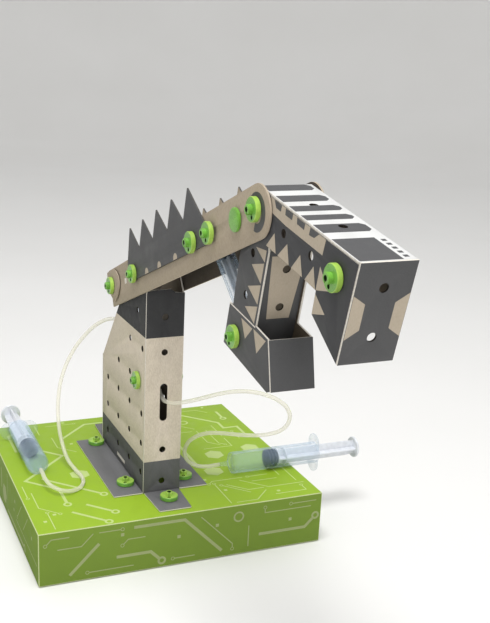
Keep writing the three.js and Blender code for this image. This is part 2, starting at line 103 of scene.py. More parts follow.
def slide(x, y, z):
    return Matrix.Translation((x, y, z))


def spun(degrees, axis):
    return Matrix.Rotation(math.radians(degrees), 4, axis)


def in_scene(name, data):
    made = bpy.data.objects.new(name, data)
    bpy.context.scene.collection.objects.link(made)
    return made


def local_frame(origin, tilt=0.0):
    """A frame in millimetres at origin (metres), its +X turned up by tilt degrees."""
    return Matrix.Translation(origin) @ spun(-tilt, "Y") @ Matrix.Scale(MM, 4)


WORLD = Matrix.Scale(MM, 4)
TOWER = local_frame(Vector((TOWER_FRONT, TOWER_Y, 0)) * MM)
ARM = local_frame(arm_pivot, ARM_TILT)
HEAD = local_frame(head_pivot, HEAD_TILT)

# ---------- camera ----------
CAMERA_TARGET = Vector((0.0951, 0.0062, 0.2095))
CAMERA_AZIMUTH = math.radians(68.6)
CAMERA_ELEVATION = math.radians(17.1)
CAMERA_ROLL = math.radians(1.8)
CAMERA_DISTANCE = 0.8744
CAMERA_LENS = 55.4
CAMERA_SENSOR = 36
CAMERA_SHIFT = (0.093, 0.048)


def build_camera():
    camera = in_scene("camera", bpy.data.cameras.new("camera"))
    back = Vector((
        math.sin(CAMERA_AZIMUTH) * math.cos(CAMERA_ELEVATION),
        -math.cos(CAMERA_AZIMUTH) * math.cos(CAMERA_ELEVATION),
        math.sin(CAMERA_ELEVATION),
    ))
    aim = back.to_track_quat("Z", "Y").to_matrix().to_4x4()
    spot = Matrix.Translation(CAMERA_TARGET + back * CAMERA_DISTANCE)
    camera.matrix_world = spot @ aim @ Matrix.Rotation(CAMERA_ROLL, 4, "Z")
    camera.data.lens = CAMERA_LENS
    camera.data.sensor_width = CAMERA_SENSOR
    camera.data.shift_x, camera.data.shift_y = CAMERA_SHIFT
    bpy.context.scene.camera = camera


build_camera()
bpy.context.scene.view_settings.view_transform = "Standard"


# ---------- materials ----------
# The Mix node's sockets for colours: factor, first and second, and its result.
MIX_COLOUR_INPUTS = (0, 6, 7)
MIX_COLOUR_OUTPUT = 2


def linear(colour, factor=1.0):
    """A screen colour, 0 to 255, lightened or darkened by a factor, as a shader colour."""
    steps = [min(255, value * factor) / 255 for value in colour]
    return [v / 12.92 if v <= 0.04045 else ((v + 0.055) / 1.055) ** 2.4 for v in steps] + [1.0]


class Look:
    """One procedural material: a Principled shader and the nodes that feed it."""

    def __init__(self, name, **sockets):
        self.material = bpy.data.materials.new(name)
        self.material.use_nodes = True
        self.tree = self.material.node_tree
        self.shader = self.tree.nodes["Principled BSDF"]
        for socket, value in sockets.items():
            self.shader.inputs[socket.replace("_", " ")].default_value = value
        self.place = self.tree.nodes.new("ShaderNodeTexCoord").outputs["Object"]

    def plug(self, target, value):
        """Links another node's output to the target socket, or sets a constant on it."""
        if isinstance(value, bpy.types.NodeSocket):
            self.tree.links.new(value, target)
        else:
            target.default_value = value

    def node(self, kind, settings=(), **sockets):
        made = self.tree.nodes.new(kind)
        for name, value in settings:
            setattr(made, name, value)
        for socket, value in sockets.items():
            self.plug(made.inputs[socket.replace("_", " ")], value)
        return made

    def noise(self, size_mm, detail=4.0, stretch=(1, 1, 1)):
        """Noise between 0 and 1 with features of size_mm, stretched along the axes."""
        scaled = self.node("ShaderNodeMapping", Vector=self.place)
        scaled.inputs["Scale"].default_value = [1 / (size_mm * MM * s) for s in stretch]
        made = self.node("ShaderNodeTexNoise", Vector=scaled.outputs["Vector"], Scale=1.0, Detail=detail)
        return made.outputs["Fac"]

    def ramp(self, value, low, high, from_low=0.35, from_high=0.65):
        made = self.node("ShaderNodeMapRange", Value=value)
        span = {"From Min": from_low, "From Max": from_high, "To Min": low, "To Max": high}
        for socket, number in span.items():
            made.inputs[socket].default_value = number
        return made.outputs["Result"]

    def mix(self, factor, first, second):
        made = self.node("ShaderNodeMix", settings=(("data_type", "RGBA"),))
        for socket, value in zip(MIX_COLOUR_INPUTS, (factor, first, second)):
            self.plug(made.inputs[socket], value)
        return made.outputs[MIX_COLOUR_OUTPUT]

    def maths(self, operation, first, second):
        made = self.node("ShaderNodeMath", settings=(("operation", operation),))
        for socket, value in zip(made.inputs, (first, second)):
            self.plug(socket, value)
        return made.outputs[0]

    def feed(self, socket, value):
        self.tree.links.new(value, self.shader.inputs[socket])

    def bump(self, height, strength, depth_mm):
        made = self.node("ShaderNodeBump", Height=height, Strength=strength, Distance=depth_mm * MM)
        self.feed("Normal", made.outputs["Normal"])


def card_look(name, colour, fleck, fibre_share=0.55, bands=None):
    """Board with fibres, flecks and cloudy patches.

    bands is the two printed ends: a height in metres and the colour below it, then one for above; these
    colours hold painted shade as well as the print.
    """
    look = Look(name, Roughness=0.82, Specular_IOR_Level=0.3)
    fibres = look.noise(0.7, 6, (1, 1, 3))
    clouds = look.noise(9, 3)
    specks = look.noise(0.35, 2)
    base = look.mix(look.ramp(fibres, 0, fibre_share), linear(colour), linear(fleck))
    base = look.mix(look.ramp(clouds, 0, 0.3), base, linear(colour, 1.05))
    base = look.mix(look.ramp(specks, 0, 0.4, 0.66, 0.74), base, linear(fleck, 0.78))
    if bands:
        height = look.node("ShaderNodeSeparateXYZ", Vector=look.place).outputs["Z"]
        for test, (limit, printed) in zip(("LESS_THAN", "GREATER_THAN"), bands):
            ink = look.mix(look.ramp(fibres, 0, 0.35), linear(printed), linear(printed, 0.88))
            base = look.mix(look.maths(test, height, limit), base, ink)
    look.feed("Base Color", base)
    look.feed("Roughness", look.ramp(clouds, 0.74, 0.9))
    look.bump(look.maths("ADD", fibres, look.maths("MULTIPLY", specks, 0.6)), 0.35, 0.12)
    return look.material


def ink_look(name, colour, roughness=0.6, contrast=0.12, gloss=0.4):
    """Printed board: even ink with a faint board grain and scuffs."""
    look = Look(name, Specular_IOR_Level=gloss)
    grain = look.noise(0.5, 5)
    clouds = look.noise(14, 4)
    darker, lighter = linear(colour, 1 - contrast / 2), linear(colour, 1 + contrast / 2)
    base = look.mix(look.ramp(grain, 0, 1), darker, lighter)
    base = look.mix(look.ramp(clouds, 0, 0.5), base, linear(colour, 1 + contrast * 0.7))
    look.feed("Base Color", base)
    look.feed("Roughness", look.ramp(clouds, roughness - 0.06, roughness + 0.08))
    look.bump(grain, 0.22, 0.08)
    return look.material


def cut_edge_look(name, colour):
    """The pale cut edge of board: fine layers and torn fibres."""
    look = Look(name, Roughness=0.9, Specular_IOR_Level=0.2)
    layers = look.noise(0.25, 5, (6, 1, 6))
    fuzz = look.noise(0.6, 5)
    base = look.mix(look.ramp(layers, 0, 0.7), linear(colour), linear(colour, 0.82))
    look.feed("Base Color", look.mix(look.ramp(fuzz, 0, 0.4), base, linear(colour, 0.9)))
    look.bump(fuzz, 0.5, 0.15)
    return look.material


def plastic_look(name, colour, roughness, tint=0.06, **sockets):
    """Moulded plastic: slight flow marks in the colour and a fine uneven gloss."""
    look = Look(name, **sockets)
    flow = look.noise(6, 3)
    fine = look.noise(0.5, 3)
    base = look.mix(look.ramp(flow, 0, 1), linear(colour, 1 - tint), linear(colour, 1 + tint))
    look.feed("Base Color", base)
    look.feed("Roughness", look.ramp(fine, roughness - 0.04, roughness + 0.08))
    look.bump(fine, 0.12, 0.05)
    return look.material


def clear_look(name, colour, body, rim, roughness):
    """Clear plastic: see-through where it faces the eye, denser and tinted towards its rims."""
    look = Look(name, IOR=1.3, Transmission_Weight=0.3)
    facing = look.node("ShaderNodeLayerWeight", Blend=0.5).outputs["Facing"]
    flow = look.noise(10, 3)
    look.feed("Alpha", look.ramp(facing, body, rim, 0.5, 1))
    look.feed("Base Color", look.mix(look.ramp(flow, 0, 1), linear(colour), linear(colour, 0.98)))
    look.feed("Roughness", look.ramp(flow, roughness, roughness + 0.03))
    return look.material


kraft = card_look("kraft_arm", (171, 158, 139), (144, 130, 110))
# The tower's printed bands: the upper one is darker than the lower as painted shade from the arm above it.
kraft_tower = card_look("kraft_tower", (212, 201, 184), (182, 169, 150), 0.6,
                        bands=((0.086, (98, 98, 99)), (0.2095, (60, 60, 61))))
# Kraft of the boards' inner faces, darkened well below the outer kraft as painted shade.
kraft_inside_painted_shade = card_look("kraft_inside_painted_shade", (108, 98, 83), (90, 80, 67))
# Kraft of the arm's inner faces and web undersides, darkened to near black as painted shade.
kraft_painted_shade = card_look("kraft_painted_shade", (70, 62, 53), (58, 51, 43))
kraft_print = card_look("kraft_print", (182, 170, 152), (164, 151, 132), 0.4)
dark_ink = ink_look("dark_ink", (75, 75, 76))
# Dark ink of the head sides, darker than dark_ink as painted shade.
head_side_ink_painted_shade = ink_look("head_side_ink_painted_shade", (64, 64, 66), gloss=0.25)
# Dark ink of the foot flaps, lighter than dark_ink as painted light on the lit flaps.
flap_ink_painted_light = ink_look("flap_ink_painted_light", (108, 108, 109))
white_ink = ink_look("white_ink", (206, 206, 204), 0.55, 0.03)
card_edge = cut_edge_look("card_edge", (234, 228, 217))
kraft_edge = cut_edge_look("kraft_edge", (188, 174, 154))
# Cut edges of the spine plates, dark as painted shade instead of the pale board core.
cut_edge_painted_shade = cut_edge_look("cut_edge_painted_shade", (88, 86, 83))
# Walls of the holes, dark as painted shade inside them.
hole_wall_painted_shade = cut_edge_look("hole_wall_painted_shade", (50, 45, 39))
green_top = ink_look("green_carton", (146, 179, 36), 0.5, 0.05)
trace_ink = ink_look("trace_ink", (186, 206, 128), 0.5, 0.04)
# The carton's upright sides: darker green and darker, greyer traces; the greyer traces are print, the darker
# tone is painted shade.
green_side_painted_shade = ink_look("green_carton_side_painted_shade", (114, 138, 56), 0.7, 0.05, 0.1)
trace_side_ink_painted_shade = ink_look("trace_side_ink_painted_shade", (150, 160, 112), 0.7, 0.04, 0.1)
tray_board = ink_look("tray_board", (112, 140, 56), 0.6, 0.06)
carton_edge = cut_edge_look("carton_edge", (206, 216, 160))
green_plastic = plastic_look("green_plastic", (110, 170, 62), 0.3, Coat_Weight=0.25, Coat_Roughness=0.15)
# Lighter, yellower green for the rivets' disc rims, painted light where they face the lamps.
green_rim_painted_light = plastic_look("green_rim_painted_light", (158, 196, 82), 0.35, Coat_Weight=0.15, Coat_Roughness=0.2)
# Dark green for the bore and keyhole walls, painted shade in the recesses.
green_recess_painted_shade = plastic_look("green_recess_painted_shade", (34, 66, 20), 0.6)
white_plastic = plastic_look("white_plastic", (222, 225, 230), 0.3, 0.03, Coat_Weight=0.2)
black_rubber = plastic_look("black_rubber", (52, 56, 64), 0.5, 0.1)
clear_barrel = clear_look("clear_barrel", (196, 223, 247), 0.12, 0.8, 0.03)
clear_hose = clear_look("clear_hose", (246, 243, 226), 0.5, 1, 0.08)
CARD_SIDES = (dark_ink, kraft_inside_painted_shade, card_edge, hole_wall_painted_shade)


# ---------- mesh tools ----------
def arc(x, y, radius, start, end, steps):
    """Points on an arc, angles in degrees, both ends included."""
    angles = [math.radians(start + (end - start) * i / steps) for i in range(steps + 1)]
    return [(x + radius * math.cos(a), y + radius * math.sin(a)) for a in angles]


def circle(x, y, radius=HOLE_R, steps=28):
    return arc(x, y, radius, 0, 360, steps)[:-1]


def rectangle(low, high):
    return [low, (high[0], low[1]), high, (low[0], high[1])]


def rounded(points, radius):
    """The same closed outline with its corners rounded."""
    steps = 3
    result = []
    for i, corner in enumerate(points):
        here = Vector(corner)
        arms = [Vector(points[i - 1]) - here, Vector(points[(i + 1) % len(points)]) - here]
        start, end = [here + a.normalized() * min(radius, a.length * 0.45) for a in arms]
        for step in range(steps + 1):
            t = step / steps
            result.append(tuple(start * (1 - t) ** 2 + here * 2 * t * (1 - t) + end * t * t))
    return result


def tidy(mesh):
    bm = bmesh.new()
    bm.from_mesh(mesh)
    bmesh.ops.remove_doubles(bm, verts=bm.verts, dist=0.0005)
    bmesh.ops.recalc_face_normals(bm, faces=bm.faces)
    bm.to_mesh(mesh)
    bm.free()
    return mesh


def filled(outline, holes=(), thickness=CARD, rounding=0.22):
    """A flat board with an outline and holes, centred on its own plane, with softened edges."""
    curve = bpy.data.curves.new("outline", "CURVE")
    curve.dimensions = "2D"
    curve.fill_mode = "BOTH"
    curve.extrude = thickness / 2 - rounding
    curve.bevel_depth = rounding
    curve.bevel_resolution = 1
    curve.offset = -rounding
    for points in (outline, *holes):
        spline = curve.splines.new("POLY")
        spline.points.add(len(points) - 1)
        for point, (x, y) in zip(spline.points, points):
            point.co = (x, y, 0, 1)
        spline.use_cyclic_u = True
    holder = in_scene("work", curve)
    mesh = bpy.data.meshes.new_from_object(holder.evaluated_get(bpy.context.evaluated_depsgraph_get()))
    bpy.data.objects.remove(holder)
    mesh = tidy(mesh)
    spans = [[(min(axis) - 0.1, max(axis) + 0.1) for axis in zip(*points)] for points in holes]
    for face in mesh.polygons:
        inside = any(all(low < at < high for at, (low, high) in zip(face.center, span)) for span in spans)
        flat = abs(face.normal.z) > 0.8
        face.material_index = (0 if face.normal.z > 0 else 1) if flat else 3 if inside else 2
    return mesh


def lathe(profile, segments=48):
    """A solid turned about +Z from (radius, height) pairs that start and end on the axis."""
    bm = bmesh.new()
    rings = []
    for radius, height in profile:
        if radius < 1e-6:
            rings.append([bm.verts.new((0, 0, height))])
            continue
        turn = [2 * math.pi * i / segments for i in range(segments)]
        rings.append([bm.verts.new((radius * math.cos(a), radius * math.sin(a), height)) for a in turn])
    for low, high in zip(rings, rings[1:]):
        for i in range(segments):
            j = i + 1
            corners = [low[i % len(low)], low[j % len(low)], high[j % len(high)], high[i % len(high)]]
            bm.faces.new(list(dict.fromkeys(corners)))
    bmesh.ops.recalc_face_normals(bm, faces=bm.faces)
    mesh = bpy.data.meshes.new("lathe")
    bm.to_mesh(mesh)
    bm.free()
    return mesh


def block(low, high, softness=0.3):
    """A bar between two corners with softened edges."""
    bm = bmesh.new()
    size = [b - a for a, b in zip(low, high)]
    middle = [(a + b) / 2 for a, b in zip(low, high)]
    bmesh.ops.create_cube(bm, matrix=Matrix.Translation(middle) @ Matrix.Diagonal((*size, 1)))
    bmesh.ops.bevel(bm, geom=bm.edges[:], offset=softness, segments=2, affect="EDGES", profile=0.5)
    mesh = bpy.data.meshes.new("block")
    bm.to_mesh(mesh)
    bm.free()
    return mesh


def boolean(mesh, cutter):
    """The mesh with the cutter taken out of it."""
    body, tool = in_scene("work", mesh), in_scene("work", cutter)
    modifier = body.modifiers.new("cut", "BOOLEAN")
    modifier.operation = "DIFFERENCE"
    modifier.solver = "EXACT"
    modifier.object = tool
    result = bpy.data.meshes.new_from_object(body.evaluated_get(bpy.context.evaluated_depsgraph_get()))
    for made in (body, tool):
        bpy.data.objects.remove(made)
    return result


def moved(mesh, matrix):
    copy = mesh.copy()
    copy.transform(matrix)
    return copy


# Turns from a board's own plane (u, v, w) to a frame.
ALONG_SIDE = spun(90, "X")  # u is +X, v is +Z, w is -Y
ACROSS = Matrix(((0, 0, 1, 0), (1, 0, 0, 0), (0, 1, 0, 0), (0, 0, 0, 1)))  # u is +Y, v is +Z, w is +X
ABOUT_X = spun(90, "Y")  # a lathe's +Z becomes +X


SHARP_ANGLE = 35
PRINT = 0.12


class Piece:
    """Meshes in millimetres in one frame, joined into one object that stands for a CAD node."""

    def __init__(self, place):
        self.place = place
        self.bm = bmesh.new()
        self.materials = []

    def index(self, material):
        if material not in self.materials:
            self.materials.append(material)
        return self.materials.index(material)

    def add(self, mesh, looks, turn=IDENTITY):
        """looks is one material, or a tuple that each face picks from by its material index: a board's
        four are for its +w face, -w face, outer edge and hole walls."""
        old_faces, old_verts = len(self.bm.faces), len(self.bm.verts)
        self.bm.from_mesh(mesh)
        self.bm.faces.ensure_lookup_table()
        self.bm.verts.ensure_lookup_table()
        for face in self.bm.faces[old_faces:]:
            look = looks[face.material_index] if isinstance(looks, tuple) else looks
            face.material_index = self.index(look)
        bmesh.ops.transform(self.bm, matrix=turn, verts=self.bm.verts[old_verts:])
        return self

    def finish(self, node, body, slot):
        mesh = bpy.data.meshes.new("fine_" + node)
        self.bm.to_mesh(mesh)
        self.bm.free()
        mesh.transform(self.place)
        for material in self.materials:
            mesh.materials.append(material)
        mesh.shade_smooth()
        mesh.set_sharp_from_angle(angle=math.radians(SHARP_ANGLE))
        made = in_scene("fine_" + node, mesh)
        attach(made, body)
        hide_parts(node)


def side_turn(side, outer, thickness=CARD):
    """Where a side panel's middle plane lies, for the near (-1) or far (+1) side."""
    return slide(0, side * (outer - thickness / 2), 0) @ ALONG_SIDE


def flipped(looks):
    """A board's looks with its two faces exchanged."""
    return (looks[1], looks[0], *looks[2:])


def printed(outline, holes=()):
    """A patch of print, half of its thickness proud of the board it lies on."""
    return filled(outline, holes, PRINT, 0)


def side_board(piece, side, outer, outline, holes, looks, prints=()):
    """A side panel whose outside carries printed patches: an outline, a material and a level above it."""
    turn = side_turn(side, outer)
    piece.add(filled(outline, holes), looks if side < 0 else flipped(looks), turn)
    for patch, material, level in prints:
        lift = slide(0, 0, -side * (CARD / 2 + level * PRINT / 3))
        piece.add(printed(patch), material, turn @ lift)


# ---------- hoses ----------
# The part's own routes, except that the arm hose stops 1.5 mm short of its end there.
HOSE_D = 4.0
RIGHT_HOSE = [
    (65.9, -9, 153.7), (70.5, -9, 150.2), (77, -8.9, 148), (83.5, -6.3, 147.4), (88.6, -0.5, 147.8),
    (91.6, 8, 149.2), (93.3, 18, 151), (94.5, 28, 153), (95, 39, 154.8), (95.8, 51, 156),
    (97.2, 63, 156), (99.5, 75.5, 154.5), (102.5, 87.5, 151), (105.5, 98.5, 145.5), (107.5, 107.5, 136.5),
    (106, 110.5, 124.5), (101, 106, 113.5), (94.5, 97, 107.5), (88, 86, 104.5), (81.5, 75, 103.5),
    (74.5, 64.5, 103), (67, 54, 102.5), (60, 43.5, 100.5), (54, 33.5, 95), (50, 26.5, 85.5),
    (50.5, 26, 73), (54, 34.5, 65), (58, 47, 63.5), (59, 54, 64.2), (59, 59.6, 64.3),
]
LEFT_HOSE = [
    (52, -20.5, 265), (41, -20.5, 251), (31, -20.5, 236), (20.5, -20.5, 221), (10, -20.8, 211),
    (-3, -21, 204), (-18, -22, 200), (-34, -26, 198), (-50, -35, 190), (-61, -48, 174),
    (-63, -62, 154), (-58, -73, 133), (-48, -80, 111), (-35, -83, 90), (-20, -83, 73),
    (-4, -81, 61), (12, -77, 56), (28, -75, 55.4), (43, -78, 55.4), (54, -87, 55.6),
    (58, -99, 57.5), (51, -110, 60.6), (38, -114, 63.2), (26, -114, 64.2), (18.4, -114, 64.3),
]
ARM_HOSE = [
    (143, 0, 19.6), (137, -0.8, 22.6), (129, -2.5, 23), (120, -5, 19.5), (111, -8, 14), (100, -10, 9.5),
    (80, -11.5, 8), (50, -11.5, 8), (24, -11.5, 7), (9, -11.5, 3.6), (2.6, -11.5, 1),
]


def hose(node, body, points, place):
    """A clear tube along a smooth route, in place of its plain CAD tube."""
    curve = bpy.data.curves.new("fine_" + node, "CURVE")
    curve.dimensions = "3D"
    curve.bevel_depth = HOSE_D / 2 * MM
    curve.bevel_resolution = 5
    curve.use_fill_caps = True
    curve.resolution_u = 10
    spline = curve.splines.new("BEZIER")
    spline.bezier_points.add(len(points) - 1)
    for knot, point in zip(spline.bezier_points, points):
        knot.co = place @ Vector(point)
        knot.handle_left_type = knot.handle_right_type = "AUTO"
    curve.materials.append(clear_hose)
    made = in_scene("fine_" + node, curve)
    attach(made, body)
    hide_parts(node)
    return made


def build_hoses():
    for node, points in (("right_hose", RIGHT_HOSE), ("left_hose", LEFT_HOSE)):
        made = hose(node, "root", points, WORLD)
    hose("arm_hose", "arm", ARM_HOSE, ARM)


build_hoses()

# ---------- rivets and pins ----------
DISC_R = 8.6
DISC_H = 3.8
BOSS_R = 3.6
BOSS_H = 3.2
CLIP_R = 3.6
CLIP_H = 1.3
RIVET_TOP = DISC_H + BOSS_H
RIVET_EDGE = 0.4
BORE_R = 1.9
KEY_R = 1.5
KEY_Y = -5.5
KEY_FLOOR = 1.4
# Rivet looks: the plain green, painted shade for the recess walls, painted light for the disc rims.
GREEN = (green_plastic, green_recess_painted_shade, green_rim_painted_light)
# Foot rivets lie face up: their faces take the lighter green as painted light, their rims the plain green.
FOOT_GREEN = (green_rim_painted_light, green_recess_painted_shade, green_plastic)


def rivet_face():
    """Half profile of a rivet's show side, from its seat outwards: disc, hollow boss."""
    edge = RIVET_EDGE
    return [
        (DISC_R - edge, 0), (DISC_R, edge), (DISC_R, DISC_H - edge), (DISC_R - edge, DISC_H),
        (BOSS_R, DISC_H), (BOSS_R, RIVET_TOP - edge), (BOSS_R - edge, RIVET_TOP), (BORE_R, RIVET_TOP),
        (BORE_R, DISC_H - 1), (0, DISC_H - 1),
    ]


def notched(mesh):
    """Cuts the keyhole below the boss, with its throat.

    The recess walls take the second look, painted shade, and the disc's rim the third, painted light.
    """
    keyhole = filled(circle(0, KEY_Y, KEY_R, 20), thickness=2 * DISC_H, rounding=0)
    mesh = boolean(mesh, moved(keyhole, slide(0, 0, DISC_H + KEY_FLOOR)))
    mesh = boolean(mesh, block((-0.7, KEY_Y, KEY_FLOOR), (0.7, -2, RIVET_TOP + 1), 0.1))
    for face in mesh.polygons:
        x, y, z = face.center
        in_bore = math.hypot(x, y) < BORE_R + 0.05 and z < RIVET_TOP - 0.1
        in_key = abs(x) < KEY_R + 0.05 and KEY_Y - KEY_R - 0.05 < y < -2
        in_key = in_key and KEY_FLOOR - 0.1 < z < DISC_H - 0.05
        on_rim = math.hypot(x, y) > DISC_R - 0.3 and z > 0
        face.material_index = 2 if on_rim else int(in_bore or in_key)
    return mesh


def snap_rivet(grip, flat=False):
    """A rivet along +Z with its seat at 0. A flat one is a plain domed disc."""
    end = -grip - CLIP_H
    stem = [
        (0, end), (CLIP_R - 0.5, end), (CLIP_R, end + 0.5), (CLIP_R, -grip), (STEM_R, -grip), (STEM_R, 0),
    ]
    if flat:
        dome = [
            (DISC_R - 0.3, 0), (DISC_R, 0.4), (DISC_R, 1.9), (DISC_R - 0.4, 2.3), (DISC_R - 1.6, 2.55),
            (DISC_R * 0.5, 2.75), (0, 2.8),
        ]
        return lathe(stem + dome)
    return notched(lathe(stem + rivet_face()))


def facing(side):
    """Turns a rivet along +Z to point out of the near or far side, its notch downwards."""
    outwards = spun(-90 * side, "X")
    return outwards @ spun(180 if side > 0 else 0, "Z")


def build_side_rivets(label, place, x, z, seat, stem_end, flat=False):
    mesh = snap_rivet(seat - stem_end, flat)
    for name, side in SIDES:
        piece = Piece(place).add(mesh, GREEN, slide(x, side * seat, z) @ facing(side))
        piece.finish(f"{label}_{name}", "arm", "green_plastic")


def build_pin(node, place, body, x, z, seat):
    """A pin right through, with a show face at both ends."""
    centre = slide(x, 0, z)
    face = notched(lathe([(0, RIVET_EDGE), (STEM_R, RIVET_EDGE), *rivet_face()]))
    face = moved(face, slide(0, 0, seat))
    shaft = lathe([(0, -seat - 1), (STEM_R, -seat - 1), (STEM_R, seat + 1), (0, seat + 1)])
    piece = Piece(place).add(shaft, green_plastic, centre @ ALONG_SIDE)
    for _, side in SIDES:
        piece.add(face, GREEN, centre @ facing(side))
    piece.finish(node, body, "green_plastic")


# ---------- carton ----------
PRINT_PITCH = 5.5
PRINT_MARGIN = 5.0
PRINT_SQUARE = 3.2
STEPS = [(1, 0), (1, 1), (0, 1), (-1, 1), (-1, 0), (-1, -1), (0, -1), (1, -1)]
TRAY_FIT = 0.8
TRAY_DROP = 5.0


def ribbon(points, width):
    """The outline of a line of that width along the points, with mitred bends."""
    spots = [Vector(point) for point in points]
    lefts, rights = [], []
    for i, spot in enumerate(spots):
        before = (spot - spots[i - 1]).normalized() if i else (spots[1] - spot).normalized()
        after = (spots[i + 1] - spot).normalized() if i + 1 < len(spots) else before
        across = (before + after).normalized().orthogonal()
        across *= width / 2 / max(0.5, across.dot(before.orthogonal()))
        lefts.append(tuple(spot + across))
        rights.append(tuple(spot - across))
    return lefts + rights[::-1]


def walk(chance, cells, crossings, start, base, reach):
    """A run over free cells that keeps within an eighth turn of its base heading and crosses nothing."""
    path, turn, run = [start], 0, 0
    while len(path) < reach:
        if run == 0:
            turn = chance.choice([way for way in (-1, 0, 0, 1) if way != turn or way == 0])
            run = chance.randint(3, 9)
        step = STEPS[(base + turn) % 8]
        here = path[-1]
        cell = (here[0] + step[0], here[1] + step[1])
        middle = (here[0] + cell[0], here[1] + cell[1])
        if cell not in cells or middle in crossings:
            break
        crossings.add(middle)
        path.append(cell)
        run -= 1
    return path


def corners_only(path):
    """The path without its middle points on straight runs."""
    kept = [path[0]]
    for before, here, after in zip(path, path[1:], path[2:]):
        if (here[0] - before[0], here[1] - before[1]) != (after[0] - here[0], after[1] - here[1]):
            kept.append(here)
    return [*kept, path[-1]]


def circuit_print(seed, width, height, keep_out=None):
    """A made-up circuit: wide and thin bent traces, rings, hexagons and squares."""
    chance = random.Random(seed)
    columns = int((width - 2 * PRINT_MARGIN) / PRINT_PITCH) + 1
    rows = int((height - 2 * PRINT_MARGIN) / PRINT_PITCH) + 1
    left = -(columns - 1) * PRINT_PITCH / 2
    low = -(rows - 1) * PRINT_PITCH / 2

    def spot(cell):
        return left + cell[0] * PRINT_PITCH, low + cell[1] * PRINT_PITCH

    grid = [(i, j) for i in range(columns) for j in range(rows)]
    cells = {cell for cell in grid if not (keep_out and keep_out(*spot(cell)))}
    crossings, loops = set(), []

    def block_of(cell, margin):
        span = range(-margin, margin + 1)
        return {(cell[0] + i, cell[1] + j) for i in span for j in span}

    def claim(spots, margin):
        for cell in spots:
            cells.difference_update(block_of(cell, margin))

    def place_shapes(count, margin, make):
        for _ in range(count):
            centre = chance.choice(sorted(cells))
            if block_of(centre, margin) <= cells:
                claim([centre], margin)
                loops.extend(make(*spot(centre)))

    area = len(cells) / 100
    def ring(x, y):
        return [circle(x, y, PRINT_PITCH), circle(x, y, PRINT_PITCH * 0.7)]

    place_shapes(round(area / 3) + 1, 2, lambda x, y: [circle(x, y, PRINT_PITCH * 1.9, 6)])
    place_shapes(round(area / 4), 1, ring)
    for count, trace, node, margin in ((area * 1.2, 3.0, 4.2, 1), (area * 9, 1.0, 1.9, 0)):
        for _ in range(round(count)):
            start, heading = chance.choice(sorted(cells)), chance.randrange(0, 8)
            path = walk(chance, cells, crossings, start, heading, 30)
            if len(path) < 5:
                continue
            claim(path, margin)
            points = [Vector(spot(cell)) for cell in corners_only(path)]
            if chance.random() < 0.6:
                loops.append(circle(*points[-1], node))
                loops.append(circle(*points[-1], node - trace * 0.7))
                points[-1] -= (points[-1] - points[-2]).normalized() * (node + 0.05)
            loops.append(ribbon(points, trace))
    half = PRINT_SQUARE / 2
    place_shapes(round(area), 0, lambda x, y: [rectangle((x - half, y - half), (x + half, y + half))])
    return printed(loops[0], loops[1:])


def build_carton():
    wall = CARTON_WALL
    half_x, half_y = CARTON_LENGTH / 2, CARTON_WIDTH / 2
    shell = block((-half_x, -half_y, CARTON_LIFT), (half_x, half_y, CARTON_TOP), 0.7)
    hollow = block((wall - half_x, wall - half_y, CARTON_LIFT - 5),
                   (half_x - wall, half_y - wall, CARTON_TOP - wall), 0.2)
    lid = Piece(WORLD).add(boolean(shell, hollow), green_top)
    for face in lid.bm.faces:
        if max(abs(value) for value in face.normal) < 0.97:
            face.material_index = lid.index(carton_edge)
        # Upright faces take the darker side green, painted shade.
        elif abs(face.normal.z) < 0.5:
            face.material_index = lid.index(green_side_painted_shade)

    def under_tower(x, y):
        return -72 < x < 122 and -58 < y < 40

    middle = (CARTON_TOP + CARTON_LIFT) / 2
    side_height = CARTON_TOP - CARTON_LIFT
    top = circuit_print(11, CARTON_LENGTH, CARTON_WIDTH, under_tower)
    lid.add(top, trace_ink, slide(0, 0, CARTON_TOP))
    ends = [(3, 0, half_x, CARTON_WIDTH), (7, 180, half_x, CARTON_WIDTH)]
    sides = [(5, 270, half_y, CARTON_LENGTH), (9, 90, half_y, CARTON_LENGTH)]
    for seed, turn, distance, width in ends + sides:
        place = spun(turn, "Z") @ slide(distance, 0, middle) @ ACROSS
        lid.add(circuit_print(seed, width, side_height), trace_side_ink_painted_shade, place)
    lid.finish("carton_lid", "root", "green_card")

    inset = wall + TRAY_FIT
    tray_top = CARTON_TOP - wall - TRAY_DROP
    tray = block((inset - half_x, inset - half_y, 0), (half_x - inset, half_y - inset, tray_top), 0.4)
    inside = block((inset + wall - half_x, inset + wall - half_y, wall),
                   (half_x - inset - wall, half_y - inset - wall, tray_top + 5), 0.2)
    Piece(WORLD).add(boolean(tray, inside), tray_board).finish("carton_tray", "root", "tray_card")


# ---------- tower ----------
FOOT = CARTON_TOP + GAP
TOWER_HALF = TOWER_WIDTH / 2
PIVOT = (-26.0, 265.0)
GRID_X = [-121, -84, -47, -10]
GRID_Z = [72.5, 102.5, 132.5, 163, 197]
UNDER_PIVOT_Z = 230
SIDE_HOLES = [(column, row) for row in range(3) for column in range(4)] + [(1, 3), (2, 3), (2, 4), (3, 4)]
FLAP_WIDTH = 29
FLAP_LENGTH = 142
FRONT_FLAP_LENGTH = 41
BACK_FLAP_LENGTH = 40
END_FLAP_ROOT = 35.6
END_FLAP_TIP = 31.6
FOOT_RIVETS = {
    "near_front": (-24, -29), "near_back": (-129, -29), "far_front": (-22, 31), "far_back": (-127, 31),
    "front": (19, 1),
}
TOWER_LOOKS = (kraft_tower, kraft_inside_painted_shade, card_edge, hole_wall_painted_shade)


